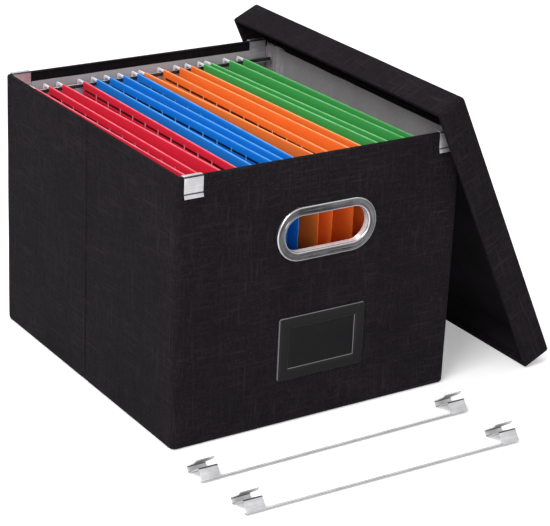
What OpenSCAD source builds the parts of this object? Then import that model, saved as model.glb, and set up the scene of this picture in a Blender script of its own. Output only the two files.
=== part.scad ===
// Portable file box with hanging folders, hanging rails and a loose lid.
// The origin is the centre of the underside of the box. X runs along the front wall to the
// right, Y runs to the rear and Z is up. The front wall carries the label frame.
// Walls are stiff boards between an outer cloth cover and an inner lining, the side walls
// are in two halves with a fold line between them, and the lid leans on the right wall.

/* [Box] */
// Width across the front wall
box_w = 310; // [304:1:360]
// Radius of the upright corners of the cover
corner_r = 4; // [3.8:0.1:6]
// Clear height between the base board and the folders
folder_foot = 10; // [4:1:30]
// Width of the gap between the two halves of a side wall
fold_gap = 1.6; // [1:0.2:4]
// Depth of the pressed fold line in the cover
fold_groove = 0.4; // [0.2:0.1:0.5]

/* [Walls] */
// Thickness of the outer cloth cover
cover_t = 0.8; // [0.6:0.1:1.2]
// Thickness of the wall boards
board_t = 2.8; // [2:0.2:4]
// Thickness of the inner lining
lining_t = 0.6; // [0.4:0.1:1]
// Thickness of the turned hem inside the wall tops
hem_t = 0.5; // [0.3:0.1:0.8]
// Height of the turned hem
hem_h = 10; // [6:1:16]
// Thickness of the loose base board
base_board_t = 3.6; // [2:0.2:5]
// Clearance around the loose base board
base_board_gap = 0.8; // [0.5:0.1:2]

/* [Handles] */
// Width of the grip opening
grip_w = 92; // [80:1:110]
// Height of the grip opening
grip_h = 35; // [30:1:44]
// Width of the bezel around the opening
bezel_ring = 9; // [7:0.5:12]
// How far the bezel stands proud of the cover
bezel_proud = 2.2; // [1.8:0.1:3]
// How far the bezel's hollow middle ring stands proud of the cover
bezel_hollow = 1.3; // [0.8:0.1:1.6]
// Wall of the bezel's sleeve through the box wall
sleeve_t = 1.2; // [0.8:0.1:2]
// Thickness of the backplate inside the wall
backplate_t = 1.2; // [0.8:0.1:2]
// Width of the backplate ring
backplate_ring = 7; // [5:0.5:10]
// Clearance of the cut-outs round the sleeve
handle_fit = 0.3; // [0.2:0.1:0.6]
// Place of the handle and the label to the right of the middle
handle_x = 4; // [0:1:10]
// Height of the handle's centre above the base
handle_z = 190; // [170:1:200]

/* [Label] */
// Width of the label frame
label_w = 96; // [80:1:110]
// Height of the label frame
label_h = 63.5; // [55:0.5:75]
// Thickness of the label frame
label_t = 1.6; // [1.4:0.1:2.4]
// Width of the frame around the window
label_border = 11.5; // [8:0.5:14]
// Corner radius of the label frame
label_r = 3; // [2:0.5:6]
// Thickness of the clear window
window_t = 0.4; // [0.3:0.1:0.6]
// Room for a card behind the window
card_room = 0.5; // [0.3:0.1:0.8]
// How far the window reaches under the frame
window_lap = 5; // [3:0.5:7]
// Clearance of the window in its pocket
window_gap = 0.3; // [0.2:0.1:0.6]
// Height of the label frame's centre above the base
label_z = 77; // [60:1:90]

/* [Rails] */
// Gap between each end of a rail and the side walls
rail_end_gap = 1.8; // [1.8:0.1:3]
// How far the hung rails sit to the left of the middle
rail_shift = 1.5; // [0:0.1:1.5]
// Thickness of the rail bar
bar_t = 1.6; // [1.2:0.1:2]
// Height of the rail bar
bar_h = 4; // [3:0.2:5]
// Width of a clip
clip_w = 19.5; // [15:0.5:24]
// Thickness of the clip's metal
clip_t = 0.8; // [0.6:0.1:1]
// Clearance between a clip and the wall it sits on
clip_gap = 0.3; // [0.2:0.05:0.5]
// From the wall's top down to the clip's shelf
clip_drop = 20.4; // [18:0.2:24]
// From the wall-side face of the clip's inner leg to the middle of the bar
shelf_len = 11.5; // [9:0.5:13]
// How far the clip's outer leg reaches down
outer_leg = 20.5; // [16:0.5:22]
// Length of the flared lip of the outer leg
lip_len = 4; // [3:0.5:6]
// How far the lip flares out
lip_flare = 1.4; // [1:0.1:2]
// Outer radius of the clip's bends
bend_r = 1.4; // [1.2:0.1:2]

/* [Folders] */
// Length of a folder's rod from hook tip to hook tip
rod_len = 325; // [310:1:340]
// Room between a hook tip and the hemmed wall
rod_end_gap = 1.8; // [1.5:0.1:4]
// How far a hook reaches beyond the folder's sheet
hook_len = 13.5; // [12:0.5:15]
// How far the bare rod shows between the sheet and the hook
rod_out = 0.3; // [0.2:0.1:1]
// Height of a folder from its fold to its top
folder_h = 237; // [220:1:250]
// Thickness of the folder's card
sheet_t = 0.5; // [0.3:0.1:0.6]
// Width of the flat bottom of a folder
fold_w = 4; // [3:0.5:6]
// How far the inner flap reaches below a rod
flap_len = 12; // [6:1:20]
// Thickness of a rod
rod_t = 1; // [0.8:0.1:1.4]
// Height of a rod
rod_h = 9; // [7:0.5:11]
// Clearance between a rod and the sleeve of card around it
rod_gap = 0.2; // [0.15:0.05:0.3]
// Thickness of the coated hooks
hook_t = 1.8; // [1.4:0.1:2.2]
// Height of the hook's arm over the rail
hook_arm = 2.6; // [2:0.1:3]
// Depth of the hook's outer leg below its arm
hook_leg = 4; // [3:0.1:4]
// Width of the hook's outer leg
hook_leg_w = 3; // [2:0.1:4]
// How much wider the leg is where it meets the arm
hook_slope = 0.9; // [0:0.1:1.5]
// Seat clearance between a hook and the rail
seat_gap = 0.3; // [0.2:0.05:0.5]

/* [Lid] */
// Height of the lid's rim
rim_h = 31; // [26:1:40]
// Thickness of the lid's boards
lid_board_t = 2.2; // [1.8:0.1:3]
// Side clearance of the lid over the box
lid_side_gap = 1; // [0.8:0.1:3]
// End clearance of the lid over the walls with the rail clips
lid_end_gap = 7.5; // [7:0.5:10]
// Corner radius of the lid
lid_r = 4; // [3.6:0.1:6]
// Share of the lid's width beyond the box's height that stays below the wall's top
lean_share = 0.279; // [0.25:0.001:0.4]
// How far the leaning lid sits in front of the middle
lid_shift = 3.5; // [2:0.1:3.5]
// Clearance between the lid and the wall it leans on
lean_gap = 0.3; // [0.2:0.05:0.5]

/* [Loose rails] */
// How far the loose rails lie to the left of the middle
loose_a_x = 14; // [0:1:20]
// Distance of the nearer loose rail in front of the box
loose_a_y = 66; // [50:1:80]
// How far the second loose rail lies to the left of the middle
loose_b_x = 10; // [0:1:20]
// Distance of the second loose rail in front of the box
loose_b_y = 136; // [120:1:160]
// Angle of the second loose rail
loose_b_turn = -1; // [-3:0.5:0]

/* [Hidden] */
$fn = 64;
cut = 1;
// Equal rings across the bezel: a lip, a hollow and a rim
BEZEL_RINGS = 3;

// Places of each folder's two rods from the left face, in thousandths of the box's width:
// left rod in front, right rod in front, left rod at the rear, right rod at the rear
FOLDER_RODS = [
    [90, 130, 72, 123],
    [201, 255, 171, 247],
    [307, 378, 297, 345],
    [417, 454, 395, 448],
    [526, 577, 474, 547],
    [654, 698, 609, 653],
    [761, 798, 703, 730],
    [862, 897, 804, 859]
];
FOLDER_COLOURS = ["crimson", "crimson", "dodgerblue", "dodgerblue", "coral", "coral", "seagreen", "seagreen"];

// Wall and base build-up
wall_t = cover_t + board_t + lining_t;
wall_top_t = wall_t + hem_t;
base_top = cover_t + lining_t + base_board_t;

// Heights of the rails and of the folders that hang on them
folder_drop = clip_drop - clip_t - bar_h - seat_gap - hook_arm - rod_gap - sheet_t;
box_h = base_top + folder_foot + folder_h + folder_drop;
box_d = rod_len + 2 * (rod_end_gap + wall_top_t);
shelf_z = box_h - clip_drop;
folder_top = box_h - folder_drop;
rod_top = folder_top - sheet_t - rod_gap;
rod_bottom = rod_top - rod_h;
folder_bottom = folder_top - folder_h;
notch_z = rod_top - hook_arm;
sheet_w = rod_len - 2 * hook_len;

// Rail section: a runs from the bar to the wall and b runs up from the shelf's underside
clip_rise = clip_drop + clip_gap + clip_t;
channel_w = wall_top_t + 2 * clip_gap;
leg_out = shelf_len + channel_w + clip_t;
rail_len = box_w - 2 * wall_top_t - 2 * rail_end_gap;
bar_y = box_d / 2 - wall_top_t - clip_gap - shelf_len;

// A loose rail lies on the bar's free edge and on the bend at the top of the clip:
// the line from that edge is tangent to the bend, whose centre is rest_a and rest_b away
rest_a = shelf_len - clip_t + bend_r + bar_t / 2;
rest_b = clip_rise - bend_r - clip_t - bar_h;
rest_angle = atan2(rest_b, rest_a) + asin(bend_r / norm([rest_a, rest_b]));
loose_turn = 180 - rest_angle;

// Handle cut-out and lid sizes
hole_grow = sleeve_t + handle_fit;
lid_t = cover_t + lid_board_t + lining_t;
lid_w = box_w + 2 * (lid_t + lid_side_gap);
lid_d = box_d + 2 * (lid_t + lid_end_gap);
lid_inside = rim_h - lid_t;

// The lid's panel touches the wall's top lean_s along the panel from its foot
lean_s = box_h + lean_share * (lid_w - box_h);
lid_tilt = asin(box_h / norm([lean_s, lid_inside])) - atan2(lid_inside, lean_s);
lid_foot_x = box_w / 2 + lean_gap / sin(lid_tilt) + lean_s * cos(lid_tilt) - lid_inside * sin(lid_tilt);

// Rod k of folder i: its ends over the front and the rear rail, its middle and its angle
function front_x(i, k) = FOLDER_RODS[i][k] / 1000 * box_w - box_w / 2;
function rear_x(i, k) = FOLDER_RODS[i][k + 2] / 1000 * box_w - box_w / 2;
function rod_x(i, k) = (front_x(i, k) + rear_x(i, k)) / 2;
function rod_turn(i, k) = atan2(front_x(i, k) - rear_x(i, k), 2 * bar_y);
function rod_line(i, k, y) = rod_x(i, k) + (rear_x(i, k) - front_x(i, k)) * y / (2 * bar_y);

// Rectangle with round corners, centred
module round_rect(w, d, r) {
    square([w - 2 * r, d], center = true);
    square([w, d - 2 * r], center = true);
    for (sx = [-1, 1]) {
        for (sy = [-1, 1]) {
            translate([sx * (w / 2 - r), sy * (d / 2 - r)])
                circle(r = r);
        }
    }
}

// Long round-ended opening, centred
module stadium(w, h) {
    square([w - h, h], center = true);
    for (s = [-1, 1]) {
        translate([s * (w - h) / 2, 0])
            circle(r = h / 2);
    }
}

// Ring of wall at a given depth inside the outer faces
module wall_ring(depth, t, r_out, r_in) {
    difference() {
        round_rect(box_w - 2 * depth, box_d - 2 * depth, r_out);
        round_rect(box_w - 2 * depth - 2 * t, box_d - 2 * depth - 2 * t, r_in);
    }
}

// Cut through both end walls where the handles' sleeves pass
module grip_cuts(grow) {
    translate([handle_x, box_d / 2 + cut, handle_z])
        rotate([90, 0, 0])
            linear_extrude(height = box_d + 2 * cut)
                stadium(grip_w + 2 * grow, grip_h + 2 * grow);
}

// Upright pressed line at mid depth on both side faces
module fold_grooves() {
    side = fold_groove * sqrt(2);
    for (s = [-1, 1]) {
        translate([s * box_w / 2, 0, -cut])
            rotate([0, 0, 45])
                translate([-side / 2, -side / 2, 0])
                    cube([side, side, box_h + 2 * cut]);
    }
}

module outer_cover() {
    color([0.13, 0.12, 0.13])
        difference() {
            translate([0, 0, cover_t])
                linear_extrude(height = box_h - 2 * cover_t)
                    wall_ring(0, cover_t, corner_r, corner_r - cover_t);
            grip_cuts(hole_grow);
            fold_grooves();
        }
}

module base_cover() {
    color([0.13, 0.12, 0.13])
        linear_extrude(height = cover_t)
            round_rect(box_w, box_d, corner_r);
}

// Stiff board in the front wall (side = -1) or the rear wall (side = 1)
module end_board(side) {
    y0 = side > 0 ? box_d / 2 - cover_t - board_t : -box_d / 2 + cover_t;
    color([0.45, 0.42, 0.38])
        difference() {
            translate([-box_w / 2 + corner_r, y0, cover_t])
                cube([box_w - 2 * corner_r, board_t, box_h - 2 * cover_t]);
            grip_cuts(hole_grow);
        }
}

// Half of a side wall: side picks left or right, half picks front or rear
module side_board(side, half) {
    x0 = side > 0 ? box_w / 2 - cover_t - board_t : -box_w / 2 + cover_t;
    len = box_d / 2 - corner_r - fold_gap / 2;
    y0 = half > 0 ? fold_gap / 2 : -fold_gap / 2 - len;
    color([0.45, 0.42, 0.38])
        translate([x0, y0, cover_t])
            cube([board_t, len, box_h - 2 * cover_t]);
}

module wall_lining() {
    depth = cover_t + board_t;
    color([0.4, 0.38, 0.39])
        difference() {
            translate([0, 0, cover_t + lining_t])
                linear_extrude(height = box_h - 2 * cover_t - lining_t)
                    difference() {
                        square([box_w - 2 * depth, box_d - 2 * depth], center = true);
                        square([box_w - 2 * wall_t, box_d - 2 * wall_t], center = true);
                    }
            grip_cuts(hole_grow);
        }
}

module base_lining() {
    depth = cover_t + board_t;
    color([0.4, 0.38, 0.39])
        translate([0, 0, cover_t])
            linear_extrude(height = lining_t)
                square([box_w - 2 * depth, box_d - 2 * depth], center = true);
}

module base_board() {
    depth = wall_t + base_board_gap;
    color([0.3, 0.29, 0.3])
        translate([0, 0, cover_t + lining_t])
            linear_extrude(height = base_board_t)
                square([box_w - 2 * depth, box_d - 2 * depth], center = true);
}

module top_hem() {
    color([0.1, 0.1, 0.11]) {
        difference() {
            translate([0, 0, box_h - cover_t])
                linear_extrude(height = cover_t)
                    difference() {
                        round_rect(box_w, box_d, corner_r);
                        square([box_w - 2 * wall_t, box_d - 2 * wall_t], center = true);
                    }
            fold_grooves();
        }
        translate([0, 0, box_h - hem_h])
            linear_extrude(height = hem_h)
                difference() {
                    square([box_w - 2 * wall_t, box_d - 2 * wall_t], center = true);
                    square([box_w - 2 * wall_top_t, box_d - 2 * wall_top_t], center = true);
                }
    }
}

// Turns a piece made for the front wall to the rear wall
module on_end(side) {
    if (side > 0)
        mirror([0, 1, 0]) children();
    else
        children();
}

// Flat piece on the front wall: from is its depth behind the wall's outer face
module front_plate(x, z, from, t) {
    translate([x, -box_d / 2 + from + t, z])
        rotate([90, 0, 0])
            linear_extrude(height = t)
                children();
}

module handle_bezel(side) {
    outer_w = grip_w + 2 * bezel_ring;
    outer_h = grip_h + 2 * bezel_ring;
    step = bezel_ring / BEZEL_RINGS;
    color([0.62, 0.62, 0.64])
        on_end(side) {
            front_plate(handle_x, handle_z, -bezel_hollow, bezel_hollow)
                difference() {
                    stadium(outer_w, outer_h);
                    stadium(grip_w, grip_h);
                }
            for (k = [0, BEZEL_RINGS - 1]) {
                front_plate(handle_x, handle_z, -bezel_proud, bezel_proud)
                    difference() {
                        stadium(grip_w + 2 * step * (k + 1), grip_h + 2 * step * (k + 1));
                        stadium(grip_w + 2 * step * k, grip_h + 2 * step * k);
                    }
            }
            front_plate(handle_x, handle_z, 0, wall_t + backplate_t)
                difference() {
                    stadium(grip_w + 2 * sleeve_t, grip_h + 2 * sleeve_t);
                    stadium(grip_w, grip_h);
                }
        }
}

module handle_backplate(side) {
    hole_w = grip_w + 2 * hole_grow;
    hole_h = grip_h + 2 * hole_grow;
    color([0.2, 0.2, 0.21])
        on_end(side)
            front_plate(handle_x, handle_z, wall_t, backplate_t)
                difference() {
                    stadium(hole_w + 2 * backplate_ring, hole_h + 2 * backplate_ring);
                    stadium(hole_w, hole_h);
                }
}

// Moulded frame with a pocket behind it that is open at the top for a card
module label_frame() {
    window_w = label_w - 2 * label_border;
    window_h = label_h - 2 * label_border;
    window_r = label_r / 2;
    pocket_h = label_h - label_border + window_lap;
    color([0.16, 0.16, 0.17])
        difference() {
            front_plate(handle_x, label_z, -label_t, label_t)
                round_rect(label_w, label_h, label_r);
            front_plate(handle_x, label_z, -label_t - cut, label_t + 2 * cut)
                round_rect(window_w, window_h, window_r);
            front_plate(handle_x, label_z, -window_t - card_room, window_t + card_room + cut)
                translate([-window_w / 2 - window_lap, -window_h / 2 - window_lap])
                    square([window_w + 2 * window_lap, pocket_h]);
        }
}

module label_window() {
    window_w = label_w - 2 * label_border;
    window_h = label_h - 2 * label_border;
    lap = window_lap - window_gap;
    color([0.75, 0.78, 0.8])
        front_plate(handle_x, label_z, -window_t - card_room, window_t)
            square([window_w + 2 * lap, window_h + 2 * lap], center = true);
}

// Quarter of a bent strip, turned by whole quarters
module bend(a, b, turn) {
    translate([a, b])
        rotate(turn)
            intersection() {
                difference() {
                    circle(r = bend_r);
                    circle(r = bend_r - clip_t);
                }
                square([bend_r, bend_r]);
            }
}

// Section of a clip: shelf under the bar, inner leg, bridge over the wall, outer leg and lip
module clip_section() {
    inner_a = shelf_len;
    top_b = clip_rise;
    leg_b = top_b - outer_leg;
    translate([-bar_t / 2, 0])
        square([inner_a - bend_r + bar_t / 2, clip_t]);
    bend(inner_a - bend_r, bend_r, 270);
    translate([inner_a - clip_t, bend_r])
        square([clip_t, top_b - 2 * bend_r + clip_t]);
    bend(inner_a - clip_t + bend_r, top_b - bend_r, 90);
    translate([inner_a - clip_t + bend_r, top_b - clip_t])
        square([leg_out - inner_a + clip_t - 2 * bend_r, clip_t]);
    bend(leg_out - bend_r, top_b - bend_r, 0);
    translate([leg_out - clip_t, leg_b + lip_len])
        square([clip_t, outer_leg - lip_len - bend_r]);
    polygon([
        [leg_out - clip_t, leg_b + lip_len],
        [leg_out - clip_t + lip_flare, leg_b],
        [leg_out + lip_flare, leg_b],
        [leg_out, leg_b + lip_len]
    ]);
}

// Rail parts in their own frame: X along the rail, Y from the bar to the wall, Z up
module rail_bar_shape() {
    translate([-rail_len / 2, -bar_t / 2, clip_t])
        cube([rail_len, bar_t, bar_h]);
}

module rail_clips_shape() {
    for (x0 = [-rail_len / 2, rail_len / 2 - clip_w]) {
        translate([x0, 0, 0])
            rotate([90, 0, 90])
                linear_extrude(height = clip_w)
                    clip_section();
    }
}

// Hung rail on the front wall (side = -1) or the rear wall (side = 1)
module hung_rail(side) {
    color([0.8, 0.8, 0.82])
        on_end(side)
            translate([-rail_shift, -bar_y, shelf_z])
                mirror([0, 1, 0])
                    children();
}

// Loose rail on the floor with its bar in front and its clip bends behind
module loose_rail(x, y, turn) {
    drop = (bar_t / 2) * sin(rest_angle) + (clip_t + bar_h) * cos(rest_angle);
    color([0.8, 0.8, 0.82])
        translate([-x, -box_d / 2 - y, drop])
            rotate([-loose_turn, 0, turn])
                mirror([0, 1, 0])
                    children();
}

module loose_rail_a() {
    loose_rail(loose_a_x, loose_a_y, 0) children();
}

module loose_rail_b() {
    loose_rail(loose_b_x, loose_b_y, loose_b_turn) children();
}

// Frame of rod k of folder i, on the rod's middle
module at_rod(i, k) {
    translate([rod_x(i, k), 0, 0])
        rotate([0, 0, rod_turn(i, k)])
            children();
}

// Section of a folder at depth y, from the left inner flap over the left rod, down to the
// fold, up to the right rod and down its inner flap: the outer side of the card, then the inner
function card_section(i, y) =
    let (
        xl = rod_line(i, 0, y),
        xr = rod_line(i, 1, y),
        xf = (xl + xr) / 2,
        out = rod_t / 2 + rod_gap + sheet_t,
        inn = rod_t / 2 + rod_gap,
        flap_z = rod_bottom - flap_len,
        kink_z = rod_bottom - rod_gap,
        under = folder_top - sheet_t,
        half = fold_w / 2
    )
    [
        [xl + out, y, flap_z], [xl + out, y, folder_top], [xl - out, y, folder_top], [xl - out, y, kink_z],
        [xf - half, y, folder_bottom], [xf + half, y, folder_bottom],
        [xr + out, y, kink_z], [xr + out, y, folder_top], [xr - out, y, folder_top], [xr - out, y, flap_z],
        [xl + inn, y, flap_z], [xl + inn, y, under], [xl - inn, y, under], [xl - inn, y, kink_z],
        [xf - half + sheet_t, y, folder_bottom + sheet_t], [xf + half - sheet_t, y, folder_bottom + sheet_t],
        [xr + inn, y, kink_z], [xr + inn, y, under], [xr - inn, y, under], [xr - inn, y, flap_z]
    ];

// Two triangles for the four-sided face a, b, c, d
function quad(a, b, c, d) = [[a, b, c], [a, c, d]];

module folder_sheet(i) {
    n = len(card_section(i, 0)) / 2;
    outer = [for (k = [0 : n - 2]) each quad(k, k + 1, 2 * n + k + 1, 2 * n + k)];
    inner = [for (k = [0 : n - 2]) each quad(n + k + 1, n + k, 3 * n + k, 3 * n + k + 1)];
    front = [for (k = [0 : n - 2]) each quad(k + 1, k, n + k, n + k + 1)];
    rear = [for (k = [0 : n - 2]) each quad(2 * n + k, 2 * n + k + 1, 3 * n + k + 1, 3 * n + k)];
    flap_ends = concat(quad(0, 2 * n, 3 * n, n), quad(2 * n - 1, 4 * n - 1, 3 * n - 1, n - 1));
    color(FOLDER_COLOURS[i])
        polyhedron(
            points = concat(card_section(i, -sheet_w / 2), card_section(i, sheet_w / 2)),
            faces = concat(outer, inner, front, rear, flap_ends)
        );
}

module folder_rods(i) {
    color([0.75, 0.75, 0.77])
        for (k = [0, 1]) {
            at_rod(i, k)
                translate([-rod_t / 2, -sheet_w / 2 - rod_out, rod_bottom])
                    cube([rod_t, sheet_w + 2 * rod_out, rod_h]);
        }
}

// Coated hook from its tip at y = 0 to the end of the rod, open below over the rail
module hook_shape() {
    hook_end = hook_len - rod_out;
    rotate([90, 0, 90])
        linear_extrude(height = hook_t, center = true)
            polygon([
                [0, notch_z - hook_leg],
                [hook_leg_w, notch_z - hook_leg],
                [hook_leg_w + hook_slope, notch_z],
                [hook_end, notch_z],
                [hook_end, rod_top],
                [hook_leg_w / 2, rod_top],
                [0, rod_top - hook_leg_w / 2]
            ]);
}

module folder_hooks(i) {
    color("white")
        for (k = [0, 1]) {
            at_rod(i, k) {
                for (side = [-1, 1]) {
                    on_end(side)
                        translate([0, -rod_len / 2, 0])
                            hook_shape();
                }
            }
        }
}

// Frame of the leaning lid: X runs down the panel to its foot, Z out of the panel's back
module leaning() {
    translate([lid_foot_x, -lid_d / 2 - lid_shift, 0])
        rotate([0, lid_tilt, 0])
            translate([-lid_w / 2, lid_d / 2, 0])
                children();
}

// Shallow tray of the lid's outline: depth inside the outer faces, wall and top thickness
module lid_tray(depth, t, r_out, r_in, top_t) {
    linear_extrude(height = rim_h - depth)
        difference() {
            round_rect(lid_w - 2 * depth, lid_d - 2 * depth, r_out);
            round_rect(lid_w - 2 * depth - 2 * t, lid_d - 2 * depth - 2 * t, r_in);
        }
    translate([0, 0, rim_h - depth - top_t])
        linear_extrude(height = top_t)
            round_rect(lid_w - 2 * depth - t, lid_d - 2 * depth - t, r_in);
}

module lid_cover() {
    color([0.13, 0.12, 0.13])
        leaning()
            lid_tray(0, cover_t, lid_r, lid_r - cover_t, cover_t);
}

module lid_board() {
    color([0.45, 0.42, 0.38])
        leaning()
            translate([0, 0, rim_h - cover_t - lid_board_t])
                linear_extrude(height = lid_board_t)
                    square([lid_w - 2 * lid_r, lid_d - 2 * lid_r], center = true);
}

module lid_rim_boards() {
    rim_board_h = rim_h - cover_t - lid_board_t;
    color([0.45, 0.42, 0.38])
        leaning()
            for (s = [-1, 1]) {
                translate([s * (lid_w / 2 - cover_t - lid_board_t / 2), 0, rim_board_h / 2])
                    cube([lid_board_t, lid_d - 2 * lid_r, rim_board_h], center = true);
                translate([0, s * (lid_d / 2 - cover_t - lid_board_t / 2), rim_board_h / 2])
                    cube([lid_w - 2 * lid_r, lid_board_t, rim_board_h], center = true);
            }
}

module lid_lining() {
    depth = cover_t + lid_board_t;
    color([0.4, 0.38, 0.39])
        leaning() {
            linear_extrude(height = rim_h - depth)
                difference() {
                    square([lid_w - 2 * depth, lid_d - 2 * depth], center = true);
                    square([lid_w - 2 * lid_t, lid_d - 2 * lid_t], center = true);
                }
            translate([0, 0, rim_h - lid_t])
                linear_extrude(height = lining_t)
                    square([lid_w - 2 * depth, lid_d - 2 * depth], center = true);
        }
}

outer_cover();
base_cover();
end_board(-1);  // front_board
end_board(1);  // rear_board
side_board(-1, -1);  // left_front_board
side_board(-1, 1);  // left_rear_board
side_board(1, -1);  // right_front_board
side_board(1, 1);  // right_rear_board
wall_lining();
base_lining();
base_board();
top_hem();
handle_bezel(-1);  // front_handle_bezel
handle_backplate(-1);  // front_handle_backplate
handle_bezel(1);  // rear_handle_bezel
handle_backplate(1);  // rear_handle_backplate
label_frame();
label_window();
hung_rail(-1) rail_bar_shape();  // front_rail_bar
hung_rail(-1) rail_clips_shape();  // front_rail_clips
hung_rail(1) rail_bar_shape();  // rear_rail_bar
hung_rail(1) rail_clips_shape();  // rear_rail_clips
folder_sheet(0);  // folder_red_1_sheet
folder_rods(0);  // folder_red_1_rods
folder_hooks(0);  // folder_red_1_hooks
folder_sheet(1);  // folder_red_2_sheet
folder_rods(1);  // folder_red_2_rods
folder_hooks(1);  // folder_red_2_hooks
folder_sheet(2);  // folder_blue_1_sheet
folder_rods(2);  // folder_blue_1_rods
folder_hooks(2);  // folder_blue_1_hooks
folder_sheet(3);  // folder_blue_2_sheet
folder_rods(3);  // folder_blue_2_rods
folder_hooks(3);  // folder_blue_2_hooks
folder_sheet(4);  // folder_orange_1_sheet
folder_rods(4);  // folder_orange_1_rods
folder_hooks(4);  // folder_orange_1_hooks
folder_sheet(5);  // folder_orange_2_sheet
folder_rods(5);  // folder_orange_2_rods
folder_hooks(5);  // folder_orange_2_hooks
folder_sheet(6);  // folder_green_1_sheet
folder_rods(6);  // folder_green_1_rods
folder_hooks(6);  // folder_green_1_hooks
folder_sheet(7);  // folder_green_2_sheet
folder_rods(7);  // folder_green_2_rods
folder_hooks(7);  // folder_green_2_hooks
loose_rail_a() rail_bar_shape();  // loose_rail_a_bar
loose_rail_a() rail_clips_shape();  // loose_rail_a_clips
loose_rail_b() rail_bar_shape();  // loose_rail_b_bar
loose_rail_b() rail_clips_shape();  // loose_rail_b_clips
lid_board();
lid_rim_boards();
lid_cover();
lid_lining();
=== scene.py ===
"""Looks of the portable file box: cloth-covered box, hanging folders, rails and leaning lid."""

import math

import bpy
import bmesh
from mathutils import Matrix, Vector, noise


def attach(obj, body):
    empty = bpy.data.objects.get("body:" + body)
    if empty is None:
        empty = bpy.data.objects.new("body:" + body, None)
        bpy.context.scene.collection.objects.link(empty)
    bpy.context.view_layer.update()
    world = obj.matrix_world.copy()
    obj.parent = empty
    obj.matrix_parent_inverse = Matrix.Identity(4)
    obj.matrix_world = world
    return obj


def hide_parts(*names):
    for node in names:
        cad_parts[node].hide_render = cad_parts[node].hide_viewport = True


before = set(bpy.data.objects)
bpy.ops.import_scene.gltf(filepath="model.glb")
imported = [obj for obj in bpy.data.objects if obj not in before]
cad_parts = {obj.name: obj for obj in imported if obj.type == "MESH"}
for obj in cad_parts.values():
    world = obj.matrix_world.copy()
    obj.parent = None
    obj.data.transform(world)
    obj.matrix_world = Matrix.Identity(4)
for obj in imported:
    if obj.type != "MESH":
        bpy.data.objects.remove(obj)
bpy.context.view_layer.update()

# The box, in metres, in the frame of the solids
BOX_W, BOX_D, BOX_H = 0.310, 0.338, 0.264
CORNER_R, FOOT_R, FOOT_CORNER_R, TOP_R, HEM_R = 0.004, 0.0025, 0.0065, 0.0018, 0.0012
COVER_T, LINING_T, WALL_T, WALL_TOP_T = 0.0008, 0.0006, 0.0042, 0.0047
FOOT_CORNER_LEN, HEM_H, SIDE_HEM_H = 0.005, 0.010, 0.005
ON_FACE = 0.0006

# How the cover cloth lies on its boards: size and depth of its waves, pressed lines and foot notch
CLOTH_SINK, WAVE_DEPTH, SIDE_WAVE, END_WAVE = 0.00025, 0.00022, 0.055, 0.06
SMALL_WAVE, SMALL_WAVE_DEPTH = 0.012, 0.00005
FLAT_FOOT, FLAT_TOP = 0.03, 0.012
FOLD_DEPTH, FOLD_WIDTH = 0.0008, 0.0011
SHOULDER_RISE, SHOULDER_AWAY, SHOULDER_WIDTH = 0.00022, 0.0036, 0.0016
PRESS_DEPTH, PRESS_AWAY, PRESS_WIDTH = 0.00028, 0.0075, 0.0014
NOTCH_H, NOTCH_RISE, NOTCH_WIDTH = 0.006, 0.0011, 0.0035
BASE_WAVE, BASE_WAVE_DEPTH = 0.04, 0.00012
HEM_CORNER_R, HEM_SAG, HEM_SAG_LEN = 0.0006, 0.0004, 0.03

# Handles and label
HANDLE_X, HANDLE_Z = 0.004, 0.190
GRIP_W, GRIP_H, BEZEL_RING = 0.092, 0.035, 0.009
SLEEVE_T, HANDLE_FIT = 0.0012, 0.0003
BACKPLATE_T, BACKPLATE_RING = 0.0012, 0.007
LABEL_W, LABEL_H, LABEL_R, LABEL_Z = 0.096, 0.0635, 0.003, 0.077
LABEL_BORDER, WINDOW_LAP, WINDOW_R, POCKET_DEPTH = 0.0115, 0.0047, 0.001, 0.0009
WINDOW_BACK, WINDOW_FRONT = 0.0005, 0.00075
POCKET_HALF_W = LABEL_W / 2 - LABEL_BORDER + 0.005

# Rails
BAR_T, BAR_H, BAR_Y, SHELF_Z = 0.0016, 0.004, 0.1525, 0.2436
RAIL_LEN, RAIL_SHIFT = 0.297, 0.0015
CLIP_W, CLIP_T, CLIP_RISE, BEND_R = 0.0195, 0.0008, 0.0215, 0.0014
SHELF_LEN, LEG_OUT, OUTER_LEG = 0.0115, 0.0176, 0.0205
LIP_LEN, LIP_FLARE = 0.004, 0.0014
REST_ANGLE = math.radians(53.876)
LOOSE_RAILS = (("loose_rail_a", 0.014, 0.066, 0.0), ("loose_rail_b", 0.010, 0.136, -1.0))
LOOSE_DROP = BAR_T / 2 * math.sin(REST_ANGLE) + (CLIP_T + BAR_H) * math.cos(REST_ANGLE)

# Folders: rod places from the left face in thousandths of the box's width, each row with the
# left and right rod over the front rail and then over the rear rail
FOLDER_NAMES = ("red_1", "red_2", "blue_1", "blue_2", "orange_1", "orange_2", "green_1", "green_2")
FOLDER_RODS = (
    (90, 130, 72, 123), (201, 255, 171, 247), (307, 378, 297, 345), (417, 454, 395, 448),
    (526, 577, 474, 547), (654, 698, 609, 653), (761, 798, 703, 730), (862, 897, 804, 859),
)
SHEET_W, SHEET_T, FOLDER_TOP, FOLDER_BOTTOM, FOLD_W = 0.298, 0.0005, 0.252, 0.015, 0.004
ROD_TOP, ROD_BOTTOM, FLAP_LEN = 0.2513, 0.2423, 0.012
ROD_LEN, HOOK_LEN, HOOK_T, ROD_OUT = 0.325, 0.0135, 0.0018, 0.0003
NOTCH_Z, HOOK_LEG, HOOK_LEG_W, HOOK_SLOPE = 0.2487, 0.004, 0.003, 0.0009
SLOT_ROWS = ((0.2445, 0.2418), (0.2398, 0.2370))
TICK_TOP, TICK_BOTTOM = 0.2460, 0.2362
SLOT_LEN, SLOT_PITCH, SLOT_COUNT = 0.0231, 0.0243, 12
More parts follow.
